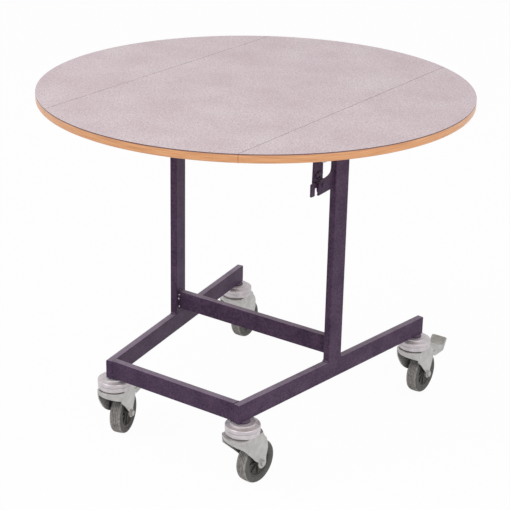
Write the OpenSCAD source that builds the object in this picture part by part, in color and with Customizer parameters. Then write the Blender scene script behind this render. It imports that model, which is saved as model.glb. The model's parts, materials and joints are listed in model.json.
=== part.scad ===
/* [Top] */
// Diameter of the round top (mm)
top_d = 900; // [700:5:1200]
// Height of the top surface above the floor (mm)
top_z = 760; // [700:1:800]
// Half width of the fixed centre section (mm)
seam_x = 230; // [180:1:300]
// Thickness of the core board and its lipping (mm)
board_t = 16.8; // [12:0.1:25]
// Thickness of the laminate sheet (mm)
laminate_t = 1.2; // [0.6:0.1:2]
// Width of the wood lipping round the edge (mm)
lipping_w = 9; // [4:0.5:20]
// Gap between the sections at each seam (mm)
seam_gap = 0.8; // [0.4:0.1:2]

/* [Frame] */
// Height of the flat tube used for the frame (mm)
tube_h = 41; // [30:1:60]
// Width of the flat tube used for the frame (mm)
tube_w = 16; // [12:1:30]
// Wall of the flat tube (mm)
tube_wall = 1.5; // [1:0.1:3]
// Outer corner radius of the flat tube (mm)
tube_r = 2; // [1:0.5:4]
// Half width of the base at the front ends of the side rails (mm)
base_front_x = 172.4; // [120:0.2:240]
// Distance of the front ends of the side rails ahead of the top centre (mm)
base_front_y = 288.2; // [200:0.2:380]
// Length of a side rail (mm)
rail_l = 607.5; // [450:0.5:750]
// Angle the side rails spread towards the rear (degrees)
splay = 8.2; // [0:0.1:15]
// Height of the side rail tops above the floor (mm)
rail_top = 197.2; // [150:0.2:260]
// Distance of the uprights from the front ends along the side rails (mm)
upright_y = 275; // [150:1:400]
// Height of the cross rail bottom above the side rail tops (mm)
cross_lift = 11.8; // [0:0.2:40]

/* [Tilting] */
// Height of the tilt axis below the underside of the top (mm)
tilt_drop = 30; // [24:1:60]
// Radius of the pivot bolts (mm)
pivot_r = 5; // [3:0.5:8]
// Outer face of the steel bearers from the middle (mm)
bearer_x = 188; // [120:1:194]
// Length of the steel bearers (mm)
bearer_l = 480; // [360:5:700]
// Distance of the cross members from the ends of the bearers (mm)
member_inset = 70; // [40:1:100]
// Running clearance on pins and shafts (mm)
fit = 0.06; // [0.03:0.01:0.1]

/* [Leaf stays] */
// Distance of the first stay ahead of the middle of the top (mm)
stay_y = 100; // [95:1:140]
// Distance between the two stays of a leaf (mm)
stay_pitch = 90; // [40:1:130]
// Reach of a stay arm (mm)
stay_reach = 90; // [60:1:130]
// Width of the stay links (mm)
stay_w = 12; // [8:1:20]

/* [Casters] */
// Radius of the wheels (mm)
wheel_r = 47; // [35:0.5:65]
// Width of the tyres (mm)
tyre_w = 27; // [18:1:40]
// Trail of the wheel axle behind the swivel axis (mm)
trail = 41; // [20:1:50]
// Radius of the collar (mm)
collar_r = 36.5; // [30:0.5:45]
// Height of the collar (mm)
collar_h = 25.4; // [24:0.2:32]
// Distance of the front swivel axes from the rail ends (mm)
caster_front = 20.3; // [15:0.1:60]
// Distance of the rear swivel axes from the rail ends (mm)
caster_rear = 17.6; // [15:0.1:60]

/* [Hidden] */
$fn = 48;

painted = "#4A3C4C";
zinc = "#B9B7B4";
wood = "#D69C69";
laminate = "#C8BBC1";
rubber = "#5E5C5A";
plastic = "#3E3D3C";
ply = "#C9A87C";

top_r = top_d / 2;
board_top = top_z - laminate_t;
underside = board_top - board_t;
tilt_z = underside - tilt_drop;
rail_bottom = rail_top - tube_h;
upright_mid = upright_y + tube_h / 2;
pivot_x = base_front_x + upright_mid * sin(splay) - tube_w / 2 * cos(splay);
pivot_y = -base_front_y + upright_mid * cos(splay) + tube_w / 2 * sin(splay);
upright_top = tilt_z + 13;
cross_bottom = rail_top + cross_lift;
leaf_x = seam_x + seam_gap / 2;
centre_x = seam_x - seam_gap / 2;
hinge_z = underside - 3;
boss_h = 2.5;
boss_r = 15;
boss_bottom = rail_bottom - boss_h;
collar_bottom = boss_bottom - collar_h;
crown_top = collar_bottom - 1.5;
stem_r = 6;
// turn of each caster from the straight trailing direction
turn_fr = 5;
turn_fl = -16;
turn_rr = 0;
turn_rl = -4;

// places children against a side rail: x inward is negative, y runs to the rear
module on_rail(side) {
    mirror([side < 0 ? 1 : 0, 0, 0])
    translate([base_front_x, -base_front_y, 0])
    rotate([0, 0, -splay])
    children();
}

// places children at a swivel axis, turned so that y is the trailing direction
module at_caster(side, along, turn) {
    translate([
        side * (base_front_x + along * sin(splay) - tube_w / 2 * cos(splay)),
        -base_front_y + along * cos(splay) + tube_w / 2 * sin(splay),
        0
    ])
    rotate([0, 0, turn])
    children();
}

// extrudes a y,z outline along x from x0 to x1
module slab_x(x0, x1) {
    translate([x0, 0, 0])
    rotate([90, 0, 90])
    linear_extrude(height = x1 - x0)
    children();
}

// extrudes an x,z outline along y from y0 to y1
module slab_y(y0, y1) {
    translate([0, y1, 0])
    rotate([90, 0, 0])
    linear_extrude(height = y1 - y0)
    children();
}

// pin along x
module pin_x(r, x0, x1, y, z) {
    translate([x0, y, z])
    rotate([0, 90, 0])
    cylinder(r = r, h = x1 - x0);
}

// pin along y
module pin_y(r, y0, y1, x, z) {
    translate([x, y0, z])
    rotate([-90, 0, 0])
    cylinder(r = r, h = y1 - y0);
}

// rounded rectangle from the origin
module soft_rect(a, b, r) {
    translate([r, 0])
    square([a - 2 * r, b]);
    translate([0, r])
    square([a, b - 2 * r]);
    for (x = [r, a - r], y = [r, b - r])
        translate([x, y])
        circle(r = r, $fn = 24);
}

// section of the flat tube, a wide and b high
module tube_section(a, b) {
    difference() {
        soft_rect(a, b, tube_r);
        translate([tube_wall, tube_wall])
        square([a - 2 * tube_wall, b - 2 * tube_wall]);
    }
}

// fixed frame

module side_rail(side) {
    color(painted)
    on_rail(side)
    translate([-tube_w, 0, rail_bottom])
    slab_y(1.5, rail_l - 1.5)
    tube_section(tube_w, tube_h);
}

// caps closing both ends of both side rails
module rail_end_caps() {
    color(painted)
    for (side = [1, -1])
        on_rail(side)
        for (y = [0, rail_l - 1.5])
            translate([-tube_w, 0, rail_bottom])
            slab_y(y, y + 1.5)
            soft_rect(tube_w, tube_h, tube_r);
}

// everything outboard of the inner faces of the side rails or uprights
module outboard_of_inner_faces() {
    for (side = [1, -1])
        on_rail(side)
        translate([-tube_w, -100, 0])
        cube([400, 900, 400]);
}

module front_rail() {
    color(painted)
    difference() {
        translate([-200, 0, 0])
        slab_x(0, 400)
        translate([-base_front_y + 2.2, rail_bottom + 1])
        tube_section(tube_w, tube_h);
        outboard_of_inner_faces();
    }
}

module cross_rail() {
    color(painted)
    difference() {
        translate([-230, 0, 0])
        slab_x(0, 460)
        translate([pivot_y - tube_w / 2, cross_bottom])
        tube_section(tube_w, tube_h);
        outboard_of_inner_faces();
    }
}

module upright(side) {
    color(painted)
    difference() {
        on_rail(side)
        translate([-tube_w, upright_y, rail_top])
        linear_extrude(height = upright_top - 2 - rail_top)
        tube_section(tube_w, tube_h);
        pin_x(10, side * pivot_x - 20, side * pivot_x + 20, pivot_y, tilt_z);
    }
}

module upright_caps() {
    color(painted)
    for (side = [1, -1])
        on_rail(side)
        translate([-tube_w, upright_y, upright_top - 2])
        linear_extrude(height = 2)
        soft_rect(tube_w, tube_h, tube_r);
}

// round sockets welded under the rail ends for the caster stems
module caster_bosses() {
    color(painted)
    for (side = [1, -1], along = [caster_front, rail_l - caster_rear])
        at_caster(side, along, 0)
        translate([0, 0, boss_bottom])
        difference() {
            cylinder(r = boss_r, h = boss_h);
            translate([0, 0, -1])
            cylinder(r = stem_r, h = boss_h + 2);
        }
}

// bushes welded through the upright tops for the pivot bolts
module pivot_bushes() {
    color(painted)
    for (side = [1, -1])
        mirror([side < 0 ? 1 : 0, 0, 0])
        difference() {
            pin_x(10, bearer_x + 2.3, 222, pivot_y, tilt_z);
            pin_x(pivot_r + fit, bearer_x, 224, pivot_y, tilt_z);
        }
}

// latch

latch_y = -52;
latch_z = tilt_z - 108;
plate_x = 198.5;
plate_t = 5;
lever_x = 194.6;
lever_t = 3.4;
latch_pin_r = 3;
stud_r = 3;
stud_d = 17.5;
stud_a = 143;
hook_r = 26;
latch_turn = 30;
lobe_r = 16.2;
tail_y = -34.5;

// places children at the lever pin, in the y,z plane
module at_latch_pin() {
    translate([latch_y, latch_z])
    children();
}

// wedge from the pin between two angles
module sector(r, a0, a1) {
    intersection() {
        circle(r = r);
        polygon([
            [0, 0], [2 * r * cos(a0), 2 * r * sin(a0)],
            [2 * r * cos((a0 + a1) / 2), 2 * r * sin((a0 + a1) / 2)], [2 * r * cos(a1), 2 * r * sin(a1)]
        ]);
    }
}

// arm welded to the front of the right upright, with a lobe round the lever pin
module latch_plate() {
    color(painted)
    difference() {
        slab_x(plate_x, plate_x + plate_t)
        at_latch_pin()
        difference() {
            union() {
                polygon([
                    [50, 45], [34.5, 28], [32.5, 23.9], [29.7, 19.4], [23.7, 15.7], [12.9, 12.5], [-2.7, lobe_r - 4.5],
                    [-2.7 - lobe_r, -4.5], [-17.7, -19], [0, -18.5], [50, -16.5]
                ]);
                translate([-2.7, -4.5])
                circle(r = lobe_r);
            }
            circle(r = latch_pin_r);
        }
        on_rail(1)
        translate([-tube_w, upright_y, 0])
        cube([tube_w + 20, 200, 900]);
    }
    // stop that the catch bar rests on
    color(painted)
    pin_x(3, bearer_x + 0.4, plate_x + 1, catch_rear + 3.3, latch_z + 3);
}

module latch_pin() {
    color(painted)
    union() {
        pin_x(latch_pin_r, lever_x - 1.6, plate_x + plate_t + 6, latch_y, latch_z);
        pin_x(5, lever_x - 1.8, lever_x - 0.4, latch_y, latch_z);
        pin_x(6, plate_x + plate_t, plate_x + plate_t + 1, latch_y, latch_z);
        translate([plate_x + plate_t + 1, latch_y, latch_z])
        rotate([0, 90, 0])
        cylinder(r = 5.8, h = 4, $fn = 6);
    }
}

// hooked lever with a tail to pull, shown released
module latch_lever() {
    open_a = stud_a - 16;
    shut_a = stud_a - latch_turn - 14;
    color(painted)
    slab_x(lever_x, lever_x + lever_t)
    at_latch_pin()
    difference() {
        union() {
            circle(r = 7.5);
            sector(hook_r, shut_a - 25, open_a);
            translate([tail_y, -6])
            soft_rect(-tail_y, 11, 2);
            translate([tail_y, -19])
            soft_rect(14.5, 27, 2);
        }
        circle(r = latch_pin_r + fit);
        // curved slot that the stud enters
        difference() {
            sector(stud_d + stud_r + 0.3, shut_a, open_a + 10);
            circle(r = stud_d - stud_r - 0.3);
        }
    }
}

catch_w = 34.5;
catch_rear = -36;

// flat bar hanging from the right bearer, with the stud the lever holds
module catch_bar() {
    color(painted)
    union() {
        slab_x(bearer_x, bearer_x + 4)
        translate([catch_rear - catch_w, latch_z - 5])
        soft_rect(catch_w, underside - latch_z + 1, 3);
        pin_x(stud_r, bearer_x + 3, plate_x - 0.3,
            latch_y + stud_d * cos(stud_a), latch_z + stud_d * sin(stud_a));
    }
}

// tilting top

// part of the disc between two x values
module top_band(r, x0, x1, z, h) {
    intersection() {
        translate([0, 0, z])
        cylinder(r = r, h = h, $fn = 180);
        translate([x0, -top_d, z - 1])
        cube([x1 - x0, 2 * top_d, h + 2]);
    }
}

// lipping ring, eased below, cut to the part between two x values
module lipping_band(x0, x1) {
    inner = top_r - lipping_w;
    intersection() {
        translate([0, 0, underside])
        rotate_extrude($fn = 180)
        polygon([
            [inner, 0], [top_r - 3.2, 0], [top_r - 1.2, 0.9], [top_r, 3.2],
            [top_r, board_t], [inner, board_t]
        ]);
        translate([x0, -top_d, underside - 1])
        cube([x1 - x0, 2 * top_d, board_t + 2]);
    }
}

module centre_board() {
    color(ply)
    top_band(top_r - lipping_w, -centre_x, centre_x, underside, board_t);
}

module centre_laminate() {
    color(laminate)
    top_band(top_r, -centre_x, centre_x, board_top, laminate_t);
}

module centre_lipping() {
    color(wood)
    lipping_band(-centre_x, centre_x);
}

module leaf_board(side) {
    color(ply)
    mirror([side < 0 ? 1 : 0, 0, 0])
    top_band(top_r - lipping_w, leaf_x, top_d, underside, board_t);
}

module leaf_laminate(side) {
    color(laminate)
    mirror([side < 0 ? 1 : 0, 0, 0])
    top_band(top_r, leaf_x, top_d, board_top, laminate_t);
}

module leaf_lipping(side) {
    color(wood)
    mirror([side < 0 ? 1 : 0, 0, 0])
    lipping_band(leaf_x, top_d);
}

// angle bearers under the centre section, drilled for the pivot bolts
module top_bearers() {
    color(painted)
    for (side = [1, -1])
        mirror([side < 0 ? 1 : 0, 0, 0])
        difference() {
            union() {
                translate([bearer_x - 4, -bearer_l / 2, tilt_z - 12])
                cube([4, bearer_l, underside - tilt_z + 12]);
                translate([bearer_x - 28, -bearer_l / 2, underside - 4])
                cube([28, bearer_l, 4]);
                for (end = [-1, 1], y = [bearer_l / 8, bearer_l / 2 - 20])
                    translate([bearer_x - 16, end * y, underside - 6])
                    cylinder(r = 4, h = 3, $fn = 24);
            }
            pin_x(pivot_r, bearer_x - 10, bearer_x + 5, pivot_y, tilt_z);
        }
}

member_w = 20;

// square tubes joining the bearers
module top_cross_members() {
    color(painted)
    for (y = [member_inset - bearer_l / 2, bearer_l / 2 - member_inset - member_w])
        difference() {
            translate([-bearer_x + 4, y, underside - 4 - member_w])
            cube([2 * bearer_x - 8, member_w, member_w]);
            translate([-bearer_x, y + tube_wall, underside - 4 - member_w + tube_wall])
            cube([2 * bearer_x, member_w - 2 * tube_wall, member_w - 2 * tube_wall]);
        }
}

module pivot_bolts() {
    color(zinc)
    for (side = [1, -1])
        mirror([side < 0 ? 1 : 0, 0, 0]) {
            pin_x(pivot_r, bearer_x - 14, 224, pivot_y, tilt_z);
            pin_x(9.5, 222.3, 223.8, pivot_y, tilt_z);
            pin_x(8, 223.8, 228, pivot_y, tilt_z);
            translate([bearer_x - 12, pivot_y, tilt_z])
            rotate([0, 90, 0])
            cylinder(r = 9, h = 8, $fn = 6);
            pin_x(8, bearer_x, bearer_x + 2, pivot_y, tilt_z);
        }
}

// leaf hinges

hinge_ys = [-260, 0, 260];
knuckle_r = 2.9;

module centre_hinge_plates() {
    color(zinc)
    for (side = [1, -1], y = hinge_ys)
        mirror([side < 0 ? 1 : 0, 0, 0]) {
            translate([seam_x - 25, y - 30, underside - 2])
            cube([20, 60, 2]);
            for (dy = [-30, 10.3]) {
                translate([seam_x - 6, y + dy, underside - 2])
                cube([6, 19.7, 1.9]);
                pin_y(knuckle_r, y + dy, y + dy + 19.7, seam_x, hinge_z);
            }
            pin_y(1.5, y - 12, y + 12, seam_x, hinge_z);
            for (dy = [-20, 0, 20])
                translate([seam_x - 15, y + dy, underside - 3.2])
                cylinder(r = 3.2, h = 1.6, $fn = 24);
        }
}

module leaf_hinge_plates(side) {
    color(zinc)
    mirror([side < 0 ? 1 : 0, 0, 0])
    for (y = hinge_ys)
        difference() {
            union() {
                translate([seam_x + 5, y - 30, underside - 2])
                cube([20, 60, 2]);
                translate([seam_x, y - 10, underside - 2])
                cube([6, 20, 1.9]);
                pin_y(knuckle_r, y - 10, y + 10, seam_x, hinge_z);
                for (dy = [-20, 0, 20])
                    translate([seam_x + 15, y + dy, underside - 3.2])
                    cylinder(r = 3.2, h = 1.6, $fn = 24);
            }
            pin_y(1.5 + fit, y - 11, y + 11, seam_x, hinge_z);
        }
}

// leaf stays

stay_px = seam_x - 31;
stay_pz = hinge_z - 20;
stay_ys = [-stay_y, -stay_y - stay_pitch];
stay_drop = 8;
stay_qx = seam_x + stay_reach;
stay_qz = hinge_z - stay_drop;
stay_jx = stay_px + stay_reach;
stay_jz = stay_pz - stay_drop;
link_t = 3.4;
rivet_r = 2.5;

// straight link between two pins in the x,z plane
module link(x0, z0, x1, z1) {
    run = sqrt((x1 - x0) * (x1 - x0) + (z1 - z0) * (z1 - z0));
    translate([x0, z0])
    rotate(atan2(z1 - z0, x1 - x0)) {
        circle(r = stay_w / 2);
        translate([run, 0])
        circle(r = stay_w / 2);
        translate([0, -stay_w / 2])
        square([run, stay_w]);
    }
}

// lugs on the bearers carrying the stay arms, with their rivets
module stay_brackets() {
    color(zinc)
    for (side = [1, -1], y = stay_ys)
        mirror([side < 0 ? 1 : 0, 0, 0]) {
            slab_y(y + 0.3, y + 0.3 + link_t)
            union() {
                polygon([
                    [bearer_x, stay_pz + 12], [bearer_x, stay_pz - 9],
                    [stay_px, stay_pz - stay_w / 2], [stay_px + stay_w / 2, stay_pz], [stay_px + 3, stay_pz + 10]
                ]);
                translate([stay_px, stay_pz])
                circle(r = stay_w / 2);
            }
            pin_y(rivet_r, y - link_t - 1, y + link_t, stay_px, stay_pz);
            pin_y(4.2, y - link_t - 1.6, y - link_t - 0.3, stay_px, stay_pz);
            pin_y(4.2, y + link_t, y + link_t + 1.5, stay_px, stay_pz);
        }
}

// arms from the bearer lugs to the elbows
module stay_arms(side) {
    color(zinc)
    mirror([side < 0 ? 1 : 0, 0, 0])
    for (y = stay_ys) {
        slab_y(y - link_t, y)
        difference() {
            link(stay_px, stay_pz, stay_jx, stay_jz);
            translate([stay_px, stay_pz])
            circle(r = rivet_r + fit);
        }
        pin_y(rivet_r, y - 1, y + link_t + 1.2, stay_jx, stay_jz);
        pin_y(4.2, y + link_t + 0.6, y + link_t + 1.8, stay_jx, stay_jz);
    }
}

// struts from the leaf lugs to the elbows
module stay_struts(side) {
    color(zinc)
    mirror([side < 0 ? 1 : 0, 0, 0])
    for (y = stay_ys)
        slab_y(y + 0.3, y + 0.3 + link_t - 0.2)
        difference() {
            link(stay_jx, stay_jz, stay_qx, stay_qz);
            translate([stay_qx, stay_qz])
            circle(r = rivet_r + fit);
            translate([stay_jx, stay_jz])
            circle(r = rivet_r + 0.3);
        }
}

// lugs under a leaf carrying the struts, with their rivets
module leaf_lugs(side) {
    color(zinc)
    mirror([side < 0 ? 1 : 0, 0, 0])
    for (y = stay_ys) {
        translate([stay_qx - 14, y - link_t - 20, underside - 2])
        cube([28, 20 + link_t, 2]);
        slab_y(y - link_t, y)
        union() {
            translate([stay_qx, stay_qz])
            circle(r = stay_w / 2);
            translate([stay_qx - 8, stay_qz])
            square([16, underside - 1 - stay_qz]);
        }
        pin_y(rivet_r, y - 1, y + link_t + 1.2, stay_qx, stay_qz);
        pin_y(4.2, y + link_t + 0.6, y + link_t + 1.8, stay_qx, stay_qz);
        for (dx = [-8, 8])
            translate([stay_qx + dx, y - link_t - 12, underside - 3])
            cylinder(r = 3, h = 1.5, $fn = 24);
    }
}

// casters

crown_r = 42;
crown_w = 30;
skirt_h = 14;
crown_edge = 2.5;
arm_out = 20;
arm_t = 2.5;
arm_end_r = 11;
axle_r = 4;
spacer_in = 14.6;
pedal_y = 50;
pedal_z = crown_top - 21.8;
pedal_pin_r = 3;

// dust collar of two rings under a coned shoulder, with the stem and swivel pin
module collar() {
    low = 10.6;
    groove = 0.8;
    round_r = 3;
    shoulder = collar_h - 8;
    color(zinc)
    union() {
        translate([0, 0, collar_bottom])
        rotate_extrude()
        union() {
            polygon([
                [0, 0], [collar_r - 2, 0], [collar_r - 0.5, 1.5], [collar_r - 0.5, low], [0, low]
            ]);
            translate([0, low - 1])
            square([collar_r - 1.6, groove + 2]);
            translate([0, low + groove])
            square([collar_r, shoulder - low - groove]);
            translate([collar_r - round_r, shoulder])
            circle(r = round_r, $fn = 24);
            polygon([
                [0, shoulder - 1], [collar_r - round_r, shoulder - 1], [collar_r - 2.3, shoulder + 2.9],
                [collar_r - 10, collar_h - 2.4], [0, collar_h - 2.4]
            ]);
            translate([0, collar_h - 4])
            square([collar_r - 10, 4]);
        }
        translate([0, 0, boss_bottom - 1])
        cylinder(r = stem_r, h = boss_h);
        translate([0, 0, crown_top - 8])
        cylinder(r = stem_r, h = 12);
        translate([0, 0, crown_top - arm_t - 4.4])
        cylinder(r = 10, h = 4, $fn = 6);
    }
}

// outer section of the pressed fork across the trailing direction
module fork_section() {
    knee = wheel_r + 10;
    skirt = crown_top - skirt_h;
    ease = crown_top - crown_edge;
    polygon([
        [-arm_out, 20], [-arm_out, knee], [-crown_w, skirt], [-crown_w, ease], [crown_edge - crown_w, crown_top],
        [crown_w - crown_edge, crown_top], [crown_w, ease], [crown_w, skirt], [arm_out, knee], [arm_out, 20]
    ]);
}

// space between the walls of the fork, across the trailing direction
module fork_bore() {
    knee = wheel_r + 10;
    skirt = crown_top - skirt_h;
    half = crown_w - arm_t;
    low = arm_out - arm_t;
    polygon([
        [-low, 10], [-low, knee], [-half, skirt], [-half, crown_top - arm_t],
        [half, crown_top - arm_t], [half, skirt], [low, knee], [low, 10]
    ]);
}

// side outline of the fork arms, y then z
module fork_side(braked) {
    polygon([
        [-29, crown_top - crown_edge], [-29, crown_top - skirt_h], [-24, crown_top - 24.3], [0, wheel_r + 32.4],
        [20, wheel_r + 12.6], [trail - arm_end_r + 1, wheel_r + 4.5], [trail - arm_end_r, wheel_r],
        [trail + arm_end_r, wheel_r], [trail + arm_end_r, wheel_r + 33], [48, crown_top - 29.8],
        [42, crown_top - 17.8], [34, crown_top - 8.8], [29, crown_top - crown_edge]
    ]);
    translate([trail, wheel_r])
    circle(r = arm_end_r);
    if (braked) {
        translate([pedal_y, pedal_z])
        circle(r = 7);
        polygon([
            [36, crown_top - 12], [pedal_y, pedal_z + 7], [pedal_y, pedal_z - 7], [44, crown_top - 34]
        ]);
    }
}

// crown of the fork with an eased upper edge
module fork_crown() {
    translate([0, 0, crown_top - skirt_h])
    cylinder(r = crown_r, h = skirt_h - crown_edge);
    translate([0, 0, crown_top - crown_edge])
    cylinder(r1 = crown_r, r2 = crown_r - crown_edge, h = crown_edge);
}

// space inside the crown, open to the rear
module crown_hollow() {
    depth = skirt_h + 1;
    translate([0, 0, crown_top - depth])
    cylinder(r = crown_r - arm_t, h = depth - arm_t);
    translate([arm_t - crown_r, 0, crown_top - depth])
    cube([2 * (crown_r - arm_t), crown_r + 1, depth - arm_t]);
}

module fork(braked) {
    color(zinc)
    difference() {
        union() {
            // crown with its skirt
            difference() {
                intersection() {
                    fork_crown();
                    slab_y(-60, 80)
                    fork_section();
                }
                intersection() {
                    crown_hollow();
                    slab_y(-70, 90)
                    fork_bore();
                }
            }
            // arms
            difference() {
                intersection() {
                    slab_x(-60, 60)
                    fork_side(braked);
                    slab_y(-60, 80)
                    fork_section();
                }
                slab_y(-70, 90)
                fork_bore();
            }
            // axle with its spacers, bolt head and nut
            pin_x(axle_r, -25, 25, trail, wheel_r);
            for (s = [-1, 1])
                translate([s * (spacer_in + arm_out - 1) / 2, trail, wheel_r])
                rotate([0, 90, 0])
                cylinder(r = 9.5, h = arm_out - 1 - spacer_in, center = true);
            pin_x(8, arm_out, arm_out + 1, trail, wheel_r);
            translate([arm_out + 1, trail, wheel_r])
            rotate([0, 90, 0])
            cylinder(r = 6.8, h = 4, $fn = 6);
            translate([-arm_out - 4.5, trail, wheel_r])
            rotate([0, 90, 0])
            cylinder(r = 6.8, h = 4.6, $fn = 6);
        }
        translate([0, 0, crown_top - 10])
        cylinder(r = stem_r + fit, h = 12);
        if (braked)
            pin_x(pedal_pin_r, -40, 40, pedal_y, pedal_z);
    }
}

module hub() {
    color(plastic)
    translate([0, trail, wheel_r])
    rotate([0, 90, 0])
    difference() {
        union() {
            translate([0, 0, -10])
            cylinder(r = wheel_r - 13, h = 20);
            translate([0, 0, 0.4 - spacer_in])
            cylinder(r = 9, h = 2 * (spacer_in - 0.4));
            for (s = [-1, 1])
                translate([0, 0, s * 10 - 1.5])
                difference() {
                    cylinder(r = wheel_r - 13, h = 3);
                    translate([0, 0, -1])
                    cylinder(r = wheel_r - 17, h = 5);
                }
        }
        translate([0, 0, -20])
        cylinder(r = axle_r + fit, h = 40);
    }
}

// ribbed tyre
module tyre() {
    in_r = wheel_r - 13;
    color(rubber)
    translate([0, trail, wheel_r])
    rotate([0, 90, 0])
    rotate_extrude($fn = 96)
    difference() {
        union() {
            translate([in_r, -tyre_w / 2 + 1.5])
            square([9, tyre_w - 3]);
            translate([in_r, -tyre_w / 2 + 4])
            square([13, tyre_w - 8]);
            for (s = [-1, 1])
                translate([wheel_r - 4.5, s * (tyre_w / 2 - 4.5)])
                circle(r = 4.5, $fn = 24);
        }
        for (s = [-6, -2, 2, 6])
            translate([wheel_r - 0.8, s - 0.6])
            square([2, 1.2]);
    }
}

// brake pedal with its cheeks, shoe and pad, hinged on a braked fork
module brake_pedal_part() {
    cheek_x = 17.5;
    color(zinc) {
        for (s = [-1, 1])
            slab_x(s * cheek_x - 1, s * cheek_x + 1)
            polygon([
                [44, pedal_z + 5], [56, pedal_z + 7], [84, pedal_z - 2], [113, pedal_z - 11], [126, pedal_z + 1],
                [129, pedal_z - 1.5], [119, pedal_z - 17], [113, pedal_z - 26], [74, pedal_z - 25],
                [58, pedal_z - 13], [44, pedal_z - 6]
            ]);
        pin_x(pedal_pin_r - fit, -crown_w + 0.6, crown_w - 0.6, pedal_y, pedal_z);
        pin_x(4, -cheek_x, cheek_x, 82.5, wheel_r + 41.5);
        translate([0, 123, pedal_z - 6])
        rotate([47, 0, 0])
        translate([0, 0, -1.2])
        linear_extrude(height = 2.4)
        union() {
            polygon([
                [-14, 8.5], [14, 8.5], [16.9, 6], [18.5, -5.5], [15.5, -8.5], [-15.5, -8.5], [-18.5, -5.5], [-16.9, 6]
            ]);
            for (s = [-1, 1]) {
                translate([s * 14, 5.5])
                circle(r = 3, $fn = 24);
                translate([s * 15.5, -5.5])
                circle(r = 3, $fn = 24);
            }
        }
    }
}

// one line per sub-part

side_rail(-1);  // left_side_rail
side_rail(1);  // right_side_rail
front_rail();
cross_rail();
upright(-1);  // left_upright
upright(1);  // right_upright
rail_end_caps();
upright_caps();
caster_bosses();
pivot_bushes();
latch_plate();
latch_pin();
latch_lever();
centre_board();
centre_laminate();
centre_lipping();
top_bearers();
top_cross_members();
pivot_bolts();
catch_bar();
centre_hinge_plates();
stay_brackets();
leaf_board(1);  // right_leaf_board
leaf_laminate(1);  // right_leaf_laminate
leaf_lipping(1);  // right_leaf_lipping
leaf_hinge_plates(1);  // right_leaf_hinge_plates
leaf_lugs(1);  // right_leaf_lugs
leaf_board(-1);  // left_leaf_board
leaf_laminate(-1);  // left_leaf_laminate
leaf_lipping(-1);  // left_leaf_lipping
leaf_hinge_plates(-1);  // left_leaf_hinge_plates
leaf_lugs(-1);  // left_leaf_lugs
stay_arms(1);  // right_stay_arms
stay_struts(1);  // right_stay_struts
stay_arms(-1);  // left_stay_arms
stay_struts(-1);  // left_stay_struts
at_caster(1, caster_front, 0) collar();  // front_right_collar
at_caster(1, caster_front, -turn_fr) fork(false);  // front_right_fork
at_caster(1, caster_front, -turn_fr) hub();  // front_right_hub
at_caster(1, caster_front, -turn_fr) tyre();  // front_right_tyre
at_caster(-1, caster_front, 0) collar();  // front_left_collar
at_caster(-1, caster_front, -turn_fl) fork(true);  // front_left_fork
at_caster(-1, caster_front, -turn_fl) hub();  // front_left_hub
at_caster(-1, caster_front, -turn_fl) tyre();  // front_left_tyre
at_caster(1, rail_l - caster_rear, 0) collar();  // rear_right_collar
at_caster(1, rail_l - caster_rear, -turn_rr) fork(true);  // rear_right_fork
at_caster(1, rail_l - caster_rear, -turn_rr) hub();  // rear_right_hub
at_caster(1, rail_l - caster_rear, -turn_rr) tyre();  // rear_right_tyre
at_caster(1, rail_l - caster_rear, -turn_rr) brake_pedal_part();  // brake_pedal
at_caster(-1, rail_l - caster_rear, 0) collar();  // rear_left_collar
at_caster(-1, rail_l - caster_rear, -turn_rl) fork(false);  // rear_left_fork
at_caster(-1, rail_l - caster_rear, -turn_rl) hub();  // rear_left_hub
at_caster(-1, rail_l - caster_rear, -turn_rl) tyre();  // rear_left_tyre
at_caster(-1, caster_front, -turn_fl) brake_pedal_part();  // front_brake_pedal
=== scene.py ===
import json
import math
import random

import bpy
from mathutils import Matrix, Vector

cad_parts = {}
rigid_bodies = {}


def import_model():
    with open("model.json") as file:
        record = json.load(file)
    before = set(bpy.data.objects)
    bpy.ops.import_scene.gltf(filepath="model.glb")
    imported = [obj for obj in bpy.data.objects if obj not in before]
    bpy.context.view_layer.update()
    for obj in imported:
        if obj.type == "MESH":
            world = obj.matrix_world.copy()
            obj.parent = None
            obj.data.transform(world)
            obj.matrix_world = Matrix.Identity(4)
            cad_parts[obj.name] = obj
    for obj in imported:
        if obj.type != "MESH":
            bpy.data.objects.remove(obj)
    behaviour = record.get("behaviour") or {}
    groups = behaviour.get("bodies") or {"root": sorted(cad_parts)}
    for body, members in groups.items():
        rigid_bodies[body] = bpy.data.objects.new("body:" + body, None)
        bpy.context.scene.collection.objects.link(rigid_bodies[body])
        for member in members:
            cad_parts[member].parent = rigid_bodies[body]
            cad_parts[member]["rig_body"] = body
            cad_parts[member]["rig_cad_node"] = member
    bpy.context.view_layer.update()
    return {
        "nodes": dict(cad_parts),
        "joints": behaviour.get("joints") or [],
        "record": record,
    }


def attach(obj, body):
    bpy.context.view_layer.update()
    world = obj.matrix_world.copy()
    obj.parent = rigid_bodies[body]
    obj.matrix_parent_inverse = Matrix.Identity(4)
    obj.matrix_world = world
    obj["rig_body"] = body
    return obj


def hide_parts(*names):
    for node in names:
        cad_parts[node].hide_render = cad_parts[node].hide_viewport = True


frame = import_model()
scene = bpy.context.scene
nodes = frame["nodes"]
print("frame loaded,", len(nodes), "nodes")


# camera and lamps

cameraSettings = {
    "place": (1.6226, -2.3680, 1.5467),
    "right": (0.8137, 0.5811, 0.0130),
    "up": (-0.2250, 0.2943, 0.9289),
    "sensor": 36,
    "lens": 101.46,
    "shiftX": 0.0421,
    "shiftY": -0.0144,
    "clipEnd": 50,
}

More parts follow.
